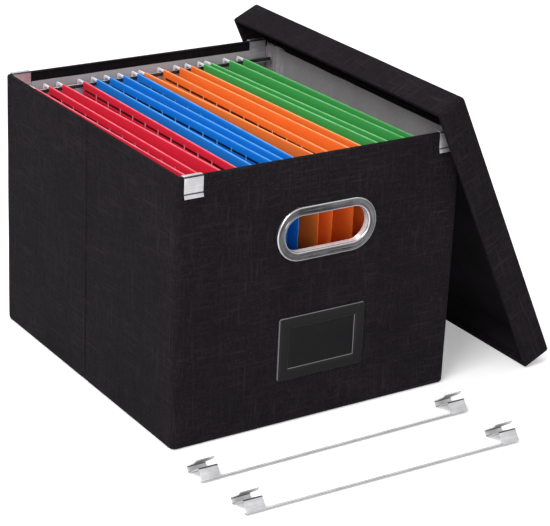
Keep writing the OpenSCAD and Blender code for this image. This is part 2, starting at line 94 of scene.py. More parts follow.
SLEEVE_R, CARD_BOW = 0.00095, 0.0009
FLAP_WAVE, FLAP_WAVE_LEN, FLAP_WAVE_SHIFT = 0.0006, 0.07, 3.7

# Lid: its own frame has X down the panel to its foot and Z out of the panel's back
LID_W, LID_D, RIM_H, LID_R, LID_T = 0.3192, 0.3602, 0.031, 0.004, 0.0036
PANEL_WAVE, PANEL_WAVE_DEPTH, PANEL_SINK = 0.07, 0.00035, 0.0003
RIM_WAVE, RIM_WAVE_DEPTH, RIM_SINK = 0.05, 0.0002, 0.0002
LID_TILT, LID_FOOT_X, LID_SHIFT = math.radians(64.5126), 0.250829, 0.0035
LID_PLACE = (
    Matrix.Translation((LID_FOOT_X, -LID_SHIFT, 0))
    @ Matrix.Rotation(LID_TILT, 4, "Y")
    @ Matrix.Translation((-LID_W / 2, 0, 0))
)


# Mesh helpers

MERGE_DISTANCE = 1e-6


def link_object(name, data):
    obj = bpy.data.objects.new(name, data)
    bpy.context.scene.collection.objects.link(obj)
    return obj


def closed_object(name, verts, faces):
    """Object from points and faces, with doubled points merged and its faces turned outwards."""
    mesh = bpy.data.meshes.new(name)
    mesh.from_pydata([tuple(v) for v in verts], [], faces)
    work = bmesh.new()
    work.from_mesh(mesh)
    bmesh.ops.remove_doubles(work, verts=work.verts, dist=MERGE_DISTANCE)
    bmesh.ops.recalc_face_normals(work, faces=work.faces)
    work.to_mesh(mesh)
    work.free()
    return link_object(name, mesh)


def piece(name, verts, faces, body, materials, slot, stands_for=(), sharp=35, bevel=0.0):
    """Makes a smooth-shaded piece on a body and hides the solids that it stands for."""
    obj = closed_object(name, verts, faces)
    if bevel:
        add_bevel(obj, bevel)
    finish_piece(obj, body, materials, slot, stands_for, sharp)
    return obj


def finish_piece(obj, body, materials, slot, stands_for, sharp=35):
    """Gives a piece its materials and smooth faces, and tells the frame what it belongs to."""
    obj.data.materials.clear()
    for material in materials:
        obj.data.materials.append(material)
    obj.data.shade_smooth()
    obj.data.set_sharp_from_angle(angle=math.radians(sharp))
    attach(obj, body)
    if stands_for:
        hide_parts(*stands_for)


def add_bevel(obj, width):
    bevel = obj.modifiers.new("edges", "BEVEL")
    bevel.width = width
    bevel.segments = 2
    bevel.limit_method = "ANGLE"
    bevel.angle_limit = math.radians(40)
    apply_modifiers(obj)


def apply_modifiers(obj):
    """Puts the result of the object's modifiers into its mesh."""
    bpy.context.view_layer.update()
    shown = obj.evaluated_get(bpy.context.evaluated_depsgraph_get())
    mesh = bpy.data.meshes.new_from_object(shown)
    obj.modifiers.clear()
    obj.data = mesh


def steps(a, b, step, marks=()):
    """Numbers from a up to b, about step apart, with the marks among them; a and b are left out."""
    count = max(1, math.ceil((b - a) / step))
    even = [a + (b - a) * i / count for i in range(1, count)]
    inside = [m for m in marks if a < m < b]
    return sorted(inside + [v for v in even if all(abs(v - m) > step * 0.3 for m in inside)])


def rect_outline(w, d, r, step, arc=6, marks=()):
    """Round-cornered rectangle as (x, y, nx, ny), anticlockwise; the marks are on the X sides."""
    hx, hy = w / 2 - r, d / 2 - r
    corners = (
        (hx, -hy, -90, hy, lambda t: (w / 2, t)),
        (hx, hy, 0, hx, lambda t: (-t, d / 2)),
        (-hx, hy, 90, hy, lambda t: (-w / 2, -t)),
        (-hx, -hy, 180, hx, lambda t: (t, -d / 2)),
    )
    points = []
    for cx, cy, start, half, side in corners:
        for k in range(arc + 1):
            a = math.radians(start + 90 * k / arc)
            points.append((cx + r * math.cos(a), cy + r * math.sin(a), math.cos(a), math.sin(a)))
        nx, ny = math.cos(math.radians(start + 90)), math.sin(math.radians(start + 90))
        for t in steps(-half, half, step, marks if start in (-90, 90) else ()):
            points.append((*side(t), nx, ny))
    return points


def stadium_outline(w, h, arc=28, straight=14):
    """Long round-ended outline as (x, y, nx, ny), anticlockwise."""
    r, half = h / 2, (w - h) / 2
    points = []
    for s, start in ((1, -90), (-1, 90)):
        for k in range(arc + 1):
            a = math.radians(start + 180 * k / arc)
            points.append((s * half + r * math.cos(a), r * math.sin(a), math.cos(a), math.sin(a)))
        for k in range(1, straight):
            points.append((s * (half - 2 * half * k / straight), s * r, 0.0, float(s)))
    return points


def inset_point(p, depth, w, d, r):
    """Point of an outline moved inwards by depth, also beyond its corner radius."""
    x, y, nx, ny = p
    if depth <= r:
        return x - nx * depth, y - ny * depth
    x, y = x - nx * r, y - ny * r
    return (max(depth - w / 2, min(w / 2 - depth, x)), max(depth - d / 2, min(d / 2 - depth, y)))


def rings(outline, w, d, r, profile, place=None):
    """One ring of points for each (depth, height) of the profile."""
    place = place or (lambda x, y, z: Vector((x, y, z)))
    return [[place(*inset_point(p, depth, w, d, r), z) for p in outline] for depth, z in profile]


def skin(loops, closed):
    """Vertices and quads between rings of equal length, closed from the last ring to the first."""
    n = len(loops[0])
    verts = [v for loop in loops for v in loop]
    faces = []
    for i in range(len(loops) if closed else len(loops) - 1):
        a, b = i * n, (i + 1) % len(loops) * n
        faces += [(a + k, a + (k + 1) % n, b + (k + 1) % n, b + k) for k in range(n)]
    return verts, faces


def join(parts):
    """Joins (verts, faces) pairs into one."""
    verts, faces = [], []
    for v, f in parts:
        faces += [tuple(i + len(verts) for i in face) for face in f]
        verts += v
    return verts, faces


def arc_points(cx, cz, r, a0, a1, count):
    """Points of an arc from angle a0 to a1, in degrees."""
    angles = [math.radians(a0 + (a1 - a0) * k / count) for k in range(count + 1)]
    return [(cx + r * math.cos(a), cz + r * math.sin(a)) for a in angles]


def extruded(polygon, low, high, place):
    """Prism of a polygon in (a, b) from low to high along the third axis."""
    n = len(polygon)
    verts = [place(a, b, low) for a, b in polygon] + [place(a, b, high) for a, b in polygon]
    faces = [tuple(range(n)), tuple(range(2 * n - 1, n - 1, -1))]
    faces += [(k, (k + 1) % n, n + (k + 1) % n, n + k) for k in range(n)]
    return verts, faces


PANEL_DEPTHS = (0.004, 0.010, 0.020, 0.036, 0.056, 0.080, 0.108, 0.136)


def to_centre(start, w, d, z):
    """Profile points from a depth to the middle of a w by d panel, at height z."""
    half = min(w, d) / 2
    return [(depth, z) for depth in PANEL_DEPTHS if start < depth < half] + [(half, z)]


def unit(value):
    return min(1.0, max(0.0, value))


def eased(t):
    """0 to 1 with a soft start and end."""
    return t * t * (3 - 2 * t)


def ripple(p, size, amount):
    """Smooth unevenness of hand-laid cloth, the same on each run."""
    return amount * noise.noise(Vector(p) / size)


def cut_grip(obj):
    """Cuts the two grip openings out of a wall cover or lining."""
    wider = 2 * (SLEEVE_T + HANDLE_FIT)
    outline = stadium_outline(GRIP_W + wider, GRIP_H + wider)
    polygon = [(x + HANDLE_X, z + HANDLE_Z) for x, z, _, _ in outline]
    verts, faces = extruded(polygon, -BOX_D, BOX_D, lambda a, b, c: Vector((a, c, b)))
    cutter = closed_object("grip_cutter", verts, faces)
    cut = obj.modifiers.new("grip", "BOOLEAN")
    cut.operation = "DIFFERENCE"
    cut.solver = "EXACT"
    cut.object = cutter
    apply_modifiers(obj)
    bpy.data.objects.remove(cutter)


# Node helpers

def node(tree, kind, settings=None, **inputs):
    """A shader node with its settings and inputs; an underscore in a name stands for a space."""
    made = tree.nodes.new("ShaderNode" + kind)
    for key, value in (settings or {}).items():
        setattr(made, key, value)
    for key, value in inputs.items():
        feed(tree, made.inputs[key.replace("_", " ")], value)
    return made


def feed(tree, socket, value):
    if isinstance(value, bpy.types.NodeSocket):
        tree.links.new(value, socket)
    else:
        socket.default_value = value


def calc(tree, operation, a, b=0.0, c=0.0):
    made = tree.nodes.new("ShaderNodeMath")
    made.operation = operation
    for socket, value in zip(made.inputs, (a, b, c)):
        feed(tree, socket, value)
    return made.outputs[0]


def scaled(tree, vector, factors):
    made = tree.nodes.new("ShaderNodeVectorMath")
    made.operation = "MULTIPLY"
    feed(tree, made.inputs[0], vector)
    made.inputs[1].default_value = factors
    return made.outputs[0]


def spread(tree, value, low, high, to_low=0.0, to_high=1.0):
    made = node(tree, "MapRange", None, Value=value, From_Min=low, From_Max=high,
                To_Min=to_low, To_Max=to_high)
    return made.outputs["Result"]


def blend_colour(tree, factor, a, b):
    made = tree.nodes.new("ShaderNodeMix")
    made.data_type = "RGBA"
    feed(tree, made.inputs["Factor"], factor)
    colour_a, colour_b = [s for s in made.inputs if s.type == "RGBA"]
    feed(tree, colour_a, a)
    feed(tree, colour_b, b)
    return [s for s in made.outputs if s.type == "RGBA"][0]


def grain_noise(tree, vector, scale, detail=3.0, rough=0.55):
    return node(tree, "TexNoise", None, Vector=vector, Scale=scale, Detail=detail,
                Roughness=rough).outputs["Fac"]


def new_group(name, inputs, outputs):
    tree = bpy.data.node_groups.new(name, "ShaderNodeTree")
    for label, kind in inputs:
        tree.interface.new_socket(label, in_out="INPUT", socket_type="NodeSocket" + kind)
    for label, kind in outputs:
        tree.interface.new_socket(label, in_out="OUTPUT", socket_type="NodeSocket" + kind)
    return tree, tree.nodes.new("NodeGroupInput").outputs, tree.nodes.new("NodeGroupOutput").inputs


def use_group(tree, group, **inputs):
    made = tree.nodes.new("ShaderNodeGroup")
    made.node_tree = group
    for key, value in inputs.items():
        feed(tree, made.inputs[key.replace("_", " ")], value)
    return made.outputs


def crossed_threads(tree, vector, along, across, detail):
    """Strongest of three thread noises, one stretched along each axis."""
    strongest = None
    for axis in range(3):
        factors = [across] * 3
        factors[axis] = along
        threads = grain_noise(tree, scaled(tree, vector, factors), 1.0, detail)
        strongest = threads if strongest is None else calc(tree, "MAXIMUM", strongest, threads)
    return strongest


def make_weave():
    """Linen-look weave: fine threads both ways with thicker slubs, and slow wear in patches."""
    tree, given, out = new_group(
        "linen_weave",
        (("Vector", "Vector"), ("Dark", "Color"), ("Light", "Color"), ("Slub", "Float")),
        (("Color", "Color"), ("Height", "Float")),
    )
    fine = crossed_threads(tree, given["Vector"], 90, 1500, 2.0)
    slub = crossed_threads(tree, given["Vector"], 28, 420, 1.0)
    patch = grain_noise(tree, given["Vector"], 16.0, 3.0)
    threads = spread(tree, fine, 0.45, 0.80)
    thick = calc(tree, "MULTIPLY", spread(tree, slub, 0.55, 0.80), given["Slub"])
    height = calc(tree, "ADD", threads, thick)
    mask = calc(tree, "MULTIPLY", height, spread(tree, patch, 0.3, 0.7, 0.55, 1.0))
    feed(tree, out["Color"], blend_colour(tree, mask, given["Dark"], given["Light"]))
    feed(tree, out["Height"], height)
    return tree


def make_felt():
    """Pressed non-woven cloth: short fibres, small pits and slow blotches."""
    tree, given, out = new_group(
        "pressed_fibre",
        (("Vector", "Vector"), ("Scale", "Float"), ("Dark", "Color"), ("Light", "Color")),
        (("Color", "Color"), ("Height", "Float")),
    )
    fine = grain_noise(tree, given["Vector"], given["Scale"], 4.0, 0.65)
    blotch = grain_noise(tree, given["Vector"], 24.0, 2.0)
    mask = calc(tree, "MULTIPLY_ADD", spread(tree, fine, 0.3, 0.7), 0.6,
                calc(tree, "MULTIPLY", spread(tree, blotch, 0.3, 0.7), 0.4))
    feed(tree, out["Color"], blend_colour(tree, mask, given["Dark"], given["Light"]))
    feed(tree, out["Height"], fine)
    return tree


def make_streaks():
    """Drawn or buffed metal: long thin streaks along one axis and a few smudges."""
    tree, given, out = new_group(
        "metal_streaks",
        (("Vector", "Vector"), ("Dark", "Color"), ("Light", "Color"),
         ("Smooth", "Float"), ("Rough", "Float")),
        (("Color", "Color"), ("Roughness", "Float"), ("Height", "Float")),
    )
    line = grain_noise(tree, scaled(tree, given["Vector"], (40, 900, 900)), 1.0, 3.0)
    smudge = grain_noise(tree, given["Vector"], 60.0, 3.0)
    mask = calc(tree, "MULTIPLY_ADD", spread(tree, line, 0.3, 0.7), 0.5,
                calc(tree, "MULTIPLY", spread(tree, smudge, 0.35, 0.65), 0.5))
    feed(tree, out["Color"], blend_colour(tree, mask, given["Dark"], given["Light"]))
    feed(tree, out["Roughness"], spread(tree, mask, 0.0, 1.0, given["Smooth"], given["Rough"]))
    feed(tree, out["Height"], line)
    return tree


WEAVE, FELT, STREAKS = make_weave(), make_felt(), make_streaks()


def srgb(r, g, b):
    """Linear colour of a colour that is written as seen, 0 to 255."""
    def line(v):
        v /= 255
        return v / 12.92 if v <= 0.04045 else ((v + 0.055) / 1.055) ** 2.4
    return (line(r), line(g), line(b), 1.0)


def new_material(name, roughness=0.5, metallic=0.0, specular=0.5, **extra):
    """An empty material: its tree, its Principled shader and the object's own coordinates."""
    material = bpy.data.materials.new(name)
    material.use_nodes = True
    tree = material.node_tree
    shader = next(n for n in tree.nodes if n.type == "BSDF_PRINCIPLED")
    shader.inputs["Roughness"].default_value = roughness
    shader.inputs["Metallic"].default_value = metallic
    shader.inputs["Specular IOR Level"].default_value = specular
    for key, value in extra.items():
        shader.inputs[key.replace("_", " ")].default_value = value
    return material, tree, shader, node(tree, "TexCoord").outputs["Object"]


def bump(tree, shader, height, distance, strength=1.0):
    made = node(tree, "Bump", None, Strength=strength, Distance=distance, Height=height)
    feed(tree, shader.inputs["Normal"], made.outputs["Normal"])


def cloth_material(name, dark, light, slub, tilt=0.0):
    """Woven cover cloth; tilt turns its threads with a leaning piece."""
    material, tree, shader, place = new_material(name, 0.8, specular=0.04)
    turned = node(tree, "Mapping", None, Vector=place, Rotation=(0.0, -tilt, 0.0)).outputs["Vector"]
    made = use_group(tree, WEAVE, Vector=turned, Dark=dark, Light=light, Slub=slub)
    feed(tree, shader.inputs["Base Color"], made["Color"])
    bump(tree, shader, made["Height"], 0.00025, 0.7)
    return material


def felt_material(name, dark, light, scale, depth, roughness=0.95, specular=0.2):
    """Any fine-grained surface: scale is the grain's fineness and depth its relief in metres."""
    material, tree, shader, place = new_material(name, roughness, specular=specular)
    made = use_group(tree, FELT, Vector=place, Scale=scale, Dark=dark, Light=light)
    feed(tree, shader.inputs["Base Color"], made["Color"])
    bump(tree, shader, made["Height"], depth, 0.6)
    return material


def metal_material(name, dark, light, smooth, rough, metallic=1.0):
    """Streaked sheet metal between two tones and two roughnesses."""
    material, tree, shader, place = new_material(name, metallic=metallic)
    made = use_group(tree, STREAKS, Vector=place, Dark=dark, Light=light, Smooth=smooth, Rough=rough)
    feed(tree, shader.inputs["Base Color"], made["Color"])
    feed(tree, shader.inputs["Roughness"], made["Roughness"])
    bump(tree, shader, made["Height"], 0.00002, 0.3)
    return material


def ring_material(name, dark, light, rim):
    """Buffed handle ring: fine lines run round the opening, between a painted highlight on its outer and
    inner edge.
    """
    material, tree, shader, place = new_material(name, metallic=1.0)
    axes = node(tree, "SeparateXYZ", None, Vector=place).outputs
    along = calc(tree, "ABSOLUTE", calc(tree, "SUBTRACT", axes["X"], HANDLE_X))
    past = calc(tree, "MAXIMUM", calc(tree, "SUBTRACT", along, (GRIP_W - GRIP_H) / 2), 0.0)
    rise = calc(tree, "SUBTRACT", axes["Z"], HANDLE_Z)
    around = calc(tree, "SQRT", calc(tree, "ADD", calc(tree, "MULTIPLY", past, past),
                                     calc(tree, "MULTIPLY", rise, rise)))
    lane = node(tree, "CombineXYZ", None, X=calc(tree, "MULTIPLY", around, 1500.0),
                Y=calc(tree, "MULTIPLY", axes["X"], 22.0),
                Z=calc(tree, "MULTIPLY", axes["Z"], 22.0)).outputs[0]
    line = grain_noise(tree, lane, 1.0, 3.0)
    cloud = grain_noise(tree, place, 45.0, 2.0)
    mask = calc(tree, "MULTIPLY_ADD", spread(tree, line, 0.35, 0.65), 0.65,
                calc(tree, "MULTIPLY", spread(tree, cloud, 0.35, 0.65), 0.35))
    outer, inner = GRIP_H / 2 + BEZEL_RING, GRIP_H / 2
    # Painted highlight: the rounded outer and inner rims are coloured paler than the band between them.
    edge = calc(tree, "MAXIMUM", spread(tree, around, outer - 0.0015, outer - 0.0006),
                spread(tree, around, inner + 0.0014, inner + 0.0006))
    band = blend_colour(tree, mask, dark, light)
    feed(tree, shader.inputs["Base Color"], blend_colour(tree, edge, band, rim))
    feed(tree, shader.inputs["Roughness"], spread(tree, mask, 0.0, 1.0, 0.14, 0.26))
    bump(tree, shader, line, 0.00003, 0.35)
    return material


def card_material(name, colour, ridge):
    """Smooth coloured card, a little paler along the top where it is creased over a rod: a painted
    highlight, patchy like worn paper.
    """
    material, tree, shader, place = new_material(name, 0.5, specular=0.3)
    dark = tuple(v * 0.86 for v in colour[:3]) + (1.0,)
    made = use_group(tree, FELT, Vector=place, Scale=420.0, Dark=dark, Light=colour)
    height = node(tree, "SeparateXYZ", None, Vector=place).outputs["Z"]
    # Painted highlight along the top of each rod's crease, broken up by noise like worn paper.
    crease = spread(tree, height, FOLDER_TOP - 0.0006, FOLDER_TOP - 0.0001)
    ridge_shine_and_wear = calc(tree, "MULTIPLY", crease, spread(tree, grain_noise(tree, place, 90.0), 0.3, 0.6, 0.15, 0.5))
    feed(tree, shader.inputs["Base Color"], blend_colour(tree, ridge_shine_and_wear, made["Color"], ridge))
    bump(tree, shader, made["Height"], 0.00004, 0.4)
    return material


def clear_material():
    """Clear sheet over the dark pocket: nearly even, with a soft shine and a few rub marks."""
    material, tree, shader, place = new_material("window_clear", 0.2, specular=0.12, Alpha=0.85)
    rub = grain_noise(tree, scaled(tree, place, (120, 300, 60)), 1.0, 3.0)
    tone = blend_colour(tree, spread(tree, rub, 0.45, 0.75), srgb(17, 15, 17), srgb(24, 21, 24))
    feed(tree, shader.inputs["Base Color"], tone)
    feed(tree, shader.inputs["Roughness"], spread(tree, rub, 0.3, 0.7, 0.18, 0.3))
    return material


CLOTH_DARK, CLOTH_LIGHT = srgb(17, 14, 17), srgb(41, 37, 41)
CLOTH = cloth_material("cover_cloth", CLOTH_DARK, CLOTH_LIGHT, 0.8)
LID_CLOTH = cloth_material("lid_cloth", CLOTH_DARK, CLOTH_LIGHT, 0.8, tilt=LID_TILT)
HEM = cloth_material("hem_cloth", srgb(14, 12, 14), srgb(34, 31, 34), 0.3)
LINING = felt_material("lining_cloth", srgb(148, 143, 147), srgb(188, 183, 187), 900.0, 0.0002)
LID_LINING = felt_material("lid_lining_cloth", srgb(20, 17, 20), srgb(38, 34, 38), 700.0, 0.0002,
                           specular=0.1)
BOARD = felt_material("raw_board", srgb(105, 98, 88), srgb(145, 137, 124), 500.0, 0.0001)
FLOOR_BOARD = felt_material("base_board_cloth", srgb(52, 50, 53), srgb(84, 82, 85), 800.0, 0.0002)
# The third colour is a painted highlight for the ring's outer and inner rims.
CHROME = ring_material("handle_chrome", srgb(28, 27, 29), srgb(128, 127, 130), srgb(205, 204, 207))
# Painted reflection: the chrome sleeve inside the opening is made pale and mostly diffuse, for the light it
# reflects from above.
SLEEVE = metal_material("handle_sleeve_painted_reflection", srgb(214, 213, 216), srgb(244, 243, 246), 0.2, 0.34,
                        metallic=0.35)
PLATE = felt_material("plate_plastic", srgb(18, 18, 19), srgb(34, 34, 36), 1400.0, 0.00008,
                      roughness=0.45, specular=0.5)
LABEL = felt_material("label_plastic", srgb(12, 11, 12), srgb(19, 18, 19), 1400.0, 0.00002,
                      roughness=0.3, specular=0.14)
# Painted highlight for the label frame's bevelled edges, where light catches them.
LABEL_EDGE_HIGHLIGHT = felt_material("label_edge_painted_highlight", srgb(96, 94, 97), srgb(118, 116, 119), 900.0, 0.00001,
                           roughness=0.3, specular=0.3)
WINDOW = clear_material()
RAIL = metal_material("rail_metal", srgb(172, 171, 174), srgb(216, 215, 218), 0.28, 0.40, metallic=0.7)
# Painted dark reflection: dark streaked metal laid along the clips' bends and on one face of each bar, for
# the dark surroundings they mirror.
RAIL_DARK_REFLECTION = metal_material("rail_painted_dark_reflection", srgb(52, 51, 54), srgb(92, 91, 94), 0.3, 0.45, metallic=0.75)
# Painted shade: the rods get a dark reddish steel for the shadow inside the folders' sleeves, where alone
# they show.
ROD = metal_material("rod_metal", srgb(48, 44, 44), srgb(84, 78, 78), 0.4, 0.55)
HOOK = felt_material("hook_coating", srgb(222, 220, 226), srgb(246, 245, 248), 700.0, 0.00005,
                     roughness=0.4, specular=0.5)

CARD_TONES = {
    "red": (srgb(228, 40, 66), srgb(250, 150, 165)),
    "blue": (srgb(14, 126, 224), srgb(110, 185, 245)),
    "orange": (srgb(255, 124, 48), srgb(255, 190, 140)),
    "green": (srgb(66, 165, 80), srgb(165, 220, 165)),
}
CARDS = {}
for tone_name, (main_tone, pale_tone) in CARD_TONES.items():
    CARDS[tone_name] = (
        card_material("card_" + tone_name, main_tone, pale_tone),
        card_material("card_tick_" + tone_name, pale_tone, pale_tone),
    )


# The box

def dent(value, width):
    """1 on a line and falling off to its sides, for pressed lines and tucks."""
    return math.exp(-(value / width) ** 2)


def rounded(u, z, half, r):
    """Pulls a point onto the arc of radius r between a wall, half away, and the floor."""
    du, dz = abs(u) - (half - r), r - z
    reach = math.hypot(du, dz)
    if du <= 0 or dz <= 0 or reach <= r:
        return u, z
    return math.copysign(half - r + du * r / reach, u), r - dz * r / reach


def foot_radius(along, half):
    """Radius of a bottom edge, which grows over the last stretch before a corner."""
    near_corner = unit((abs(along) - half + FOOT_CORNER_LEN) / FOOT_CORNER_LEN)
    return FOOT_R + (FOOT_CORNER_R - FOOT_R) * eased(near_corner)


def foot_point(p):
    """The same point with the box's bottom corners rounded more than its bottom edges."""
    x, z = rounded(p.x, p.z, BOX_W / 2, foot_radius(p.y, BOX_D / 2))
    y, z = rounded(p.y, z, BOX_D / 2, foot_radius(p.x, BOX_W / 2))
    return Vector((x, y, z))


def cloth_push(x, y, z, wave):
    """How far the cloth lies out of its face: flat at foot and top, with slow waves between."""
    lift = unit(z / FLAT_FOOT) * unit((BOX_H - z) / FLAT_TOP)
    slow = ripple((x, y, z), wave, WAVE_DEPTH) * lift
    return slow - CLOTH_SINK + ripple((x, y, z), SMALL_WAVE, SMALL_WAVE_DEPTH)


def box_cover_point(x, y, z):
    """Cover point with its hand-laid unevenness, the fold lines and the soft wall corners."""
    p = foot_point(Vector((x, y, z)))
    if abs(x) > BOX_W / 2 - ON_FACE:
        push = cloth_push(x, y, z, SIDE_WAVE)
        push -= FOLD_DEPTH * dent(y, FOLD_WIDTH)
        push += SHOULDER_RISE * dent(abs(y) - SHOULDER_AWAY, SHOULDER_WIDTH)
        push -= PRESS_DEPTH * dent(abs(y) - (BOX_D / 2 - PRESS_AWAY), PRESS_WIDTH)
        p.x += math.copysign(push, x)
        if z < NOTCH_H:
            p.z += NOTCH_RISE * dent(y, NOTCH_WIDTH) * (1 - z / NOTCH_H)
    elif abs(y) > BOX_D / 2 - ON_FACE:
        push = cloth_push(x, y, z, END_WAVE)
        push -= PRESS_DEPTH * dent(abs(x) - (BOX_W / 2 - PRESS_AWAY), PRESS_WIDTH)
        p.y += math.copysign(push, y)
    return p


def make_box_cover():
    """Cloth of the four walls, with extra points along its pressed lines."""
    marks = [0.0, 0.0008, 0.0016, 0.0028, 0.0045, 0.0062]
    marks += [BOX_D / 2 - v for v in (0.0055, 0.0068, 0.0082, 0.0096, 0.0112)]
    marks = sorted(set(marks + [-m for m in marks]))
    outline = rect_outline(BOX_W, BOX_D, CORNER_R, step=0.003, marks=marks)
    profile = arc_points(FOOT_R, FOOT_R, FOOT_R, 270, 180, 5)
    profile += [(0.0, z) for z in steps(FOOT_R, BOX_H - TOP_R, 0.004)]
    profile += arc_points(TOP_R, BOX_H - TOP_R, TOP_R, 180, 90, 5)
    profile += arc_points(WALL_TOP_T - HEM_R, BOX_H - HEM_R, HEM_R, 90, 0, 4)
    profile += [(WALL_TOP_T, BOX_H - 0.0018), (WALL_T - 0.0004, BOX_H - 0.0018)]
    profile += [(WALL_T - 0.0004, BOX_H - 0.0007), (COVER_T, BOX_H - 0.0014), (COVER_T, FOOT_R)]
    loops = rings(outline, BOX_W, BOX_D, CORNER_R, profile, box_cover_point)
    cover = piece("box_cover", *skin(loops, True), "box", [CLOTH], "cover_cloth",
                  ["outer_cover"], sharp=60)
    cut_grip(cover)
    finish_piece(cover, "box", [CLOTH], "cover_cloth", (), 60)


def make_hem():
    """Turned cloth inside the wall tops, with a softly pressed lower edge."""
    inner_w, inner_d = BOX_W - 2 * WALL_T, BOX_D - 2 * WALL_T
    outline = rect_outline(inner_w, inner_d, HEM_CORNER_R, step=0.004, arc=2)
    low, high = BOX_H - HEM_H, BOX_H - 0.0012
    side_x = inner_w / 2 - 0.0010
    profile = [(-0.0003, low + 0.0004), (0.0002, low), (0.0005, low + 0.0003), (0.00055, low + 0.0012)]
    profile += [(0.00045, low + 0.0022), (0.0005, low + 0.005), (0.0005, high), (-0.0003, high)]

    def place(x, y, z):
        sag = ripple((x, y, 0), HEM_SAG_LEN, HEM_SAG) if z < low + 0.003 else 0.0
        if abs(x) > side_x and z < high:
            z = high - (high - z) * (high - BOX_H + SIDE_HEM_H) / (high - low)
        return Vector((x, y, z + sag))

    loops = rings(outline, inner_w, inner_d, HEM_CORNER_R, profile, place)
    piece("wall_hem", *skin(loops, True), "box", [HEM], "hem_cloth", ["top_hem"], sharp=70)


def make_base_cover():
    """Cloth under the base, slightly raised in places from what the box stands on."""
    profile = [(FOOT_R + 0.0004, 0.0), (FOOT_R - 0.0004, 0.0003), (FOOT_R - 0.0004, COVER_T)]
    profile += to_centre(FOOT_R, BOX_W, BOX_D, COVER_T)
    profile += list(reversed(to_centre(FOOT_R + 0.001, BOX_W, BOX_D, 0.0)))
    outline = rect_outline(BOX_W, BOX_D, CORNER_R, step=0.006)

    def place(x, y, z):
        raised = abs(ripple((x, y, 0), BASE_WAVE, BASE_WAVE_DEPTH)) if z < 0.0001 else 0.0
        return foot_point(Vector((x, y, z + raised)))

    loops = rings(outline, BOX_W, BOX_D, CORNER_R, profile, place)
    piece("base_cover_cloth", *skin(loops, True), "box", [CLOTH], "cover_cloth", ["base_cover"], sharp=60)


# Each tuck: distance from the corner at its top, how far it swings out below, width and height
TUCKS = (
    (0.0150, -0.0105, 0.0016, 0.0042), (0.0150, 0.0000, 0.0013, 0.0018),
    (0.0165, 0.0085, 0.0015, 0.0046), (0.0185, 0.0125, 0.0018, 0.0028),
)
TUCK_LOW, TUCK_FADE, TUCK_OPENING = 0.165, 0.05, 0.022
TUCKS_FROM, TUCK_STEP, TUCK_STEPS = 0.1250, 0.0007, 54
SLACK, SLACK_SIZE, END_SLACK, ON_LINING = 0.00035, 0.045, 0.0004, 0.0002


def lining_point(x, y, z):
    """Lining point: slack vertical tucks beside the rear right corner, slight slack elsewhere."""
    p = Vector((x, y, z))
    half_w, half_d = BOX_W / 2 - WALL_T, BOX_D / 2 - WALL_T
    lift_from = BOX_H - HEM_H - 0.004
    slack = SLACK * (1 + noise.noise(p / SLACK_SIZE))
    on_side = abs(x) > half_w - ON_LINING
    if on_side and z > lift_from:
        p.z += (HEM_H - SIDE_HEM_H) * min(1.0, (z - lift_from) / 0.005)
    if on_side and x > 0 and y > 0:
        low = unit((z - TUCK_LOW) / TUCK_FADE)
        belly = eased(unit((BOX_H - SIDE_HEM_H - p.z) / TUCK_OPENING))
        for back, swing, width, size in TUCKS:
            slack += size * dent(half_d - y - back - swing * belly, width) * low * (0.35 + 0.65 * belly)
    if on_side:
        p.x -= math.copysign(slack, x)
    elif abs(y) > half_d - ON_LINING:
        p.y -= math.copysign(min(slack, END_SLACK), y)
    return p


def make_lining():
    """Lining of the walls and of the floor, in one piece, with the handles' openings cut."""
    w, d, r = BOX_W - 2 * WALL_T, BOX_D - 2 * WALL_T, 0.002
    marks = [TUCKS_FROM + TUCK_STEP * k for k in range(TUCK_STEPS)]
    outline = rect_outline(w, d, r, step=0.005, arc=4, marks=marks)
    floor, top, back = COVER_T + LINING_T, BOX_H - HEM_H + 0.002, -LINING_T + 0.00005
    profile = [(back, top), (0.0, top)]
    profile += [(0.0, z) for z in reversed(steps(floor + 0.002, top, 0.005))]
    profile += [(0.0, floor + 0.002), (0.0006, floor + 0.0006), (0.002, floor)]
    profile += to_centre(0.002, w, d, floor)
    profile += list(reversed(to_centre(0.002, w, d, COVER_T + 0.00005)))
    profile += [(back, COVER_T + 0.00005)]
    profile += [(back, z) for z in steps(floor, top, 0.03)]
    loops = rings(outline, w, d, r, profile, lining_point)
    lining = piece("box_lining", *skin(loops, True), "box", [LINING], "lining_cloth",
                   ["wall_lining", "base_lining"], sharp=80)
    cut_grip(lining)
    finish_piece(lining, "box", [LINING], "lining_cloth", (), 80)


# Handles and label

def on_wall(side, cx, cz):
    """Places (x, z, height out of the wall) on the front wall, or the rear wall for side 1."""
    def place(x, z, height):
        return Vector((cx + x, side * (BOX_D / 2 + height), cz + z))
    return place


def swept(outline, profile, place):
    """Closed moulding: each (outward offset, height) of the profile swept along an outline."""
    loops = [[place(x + nx * out, z + nz * out, height) for x, z, nx, nz in outline]
             for out, height in profile]
    return skin(loops, True)


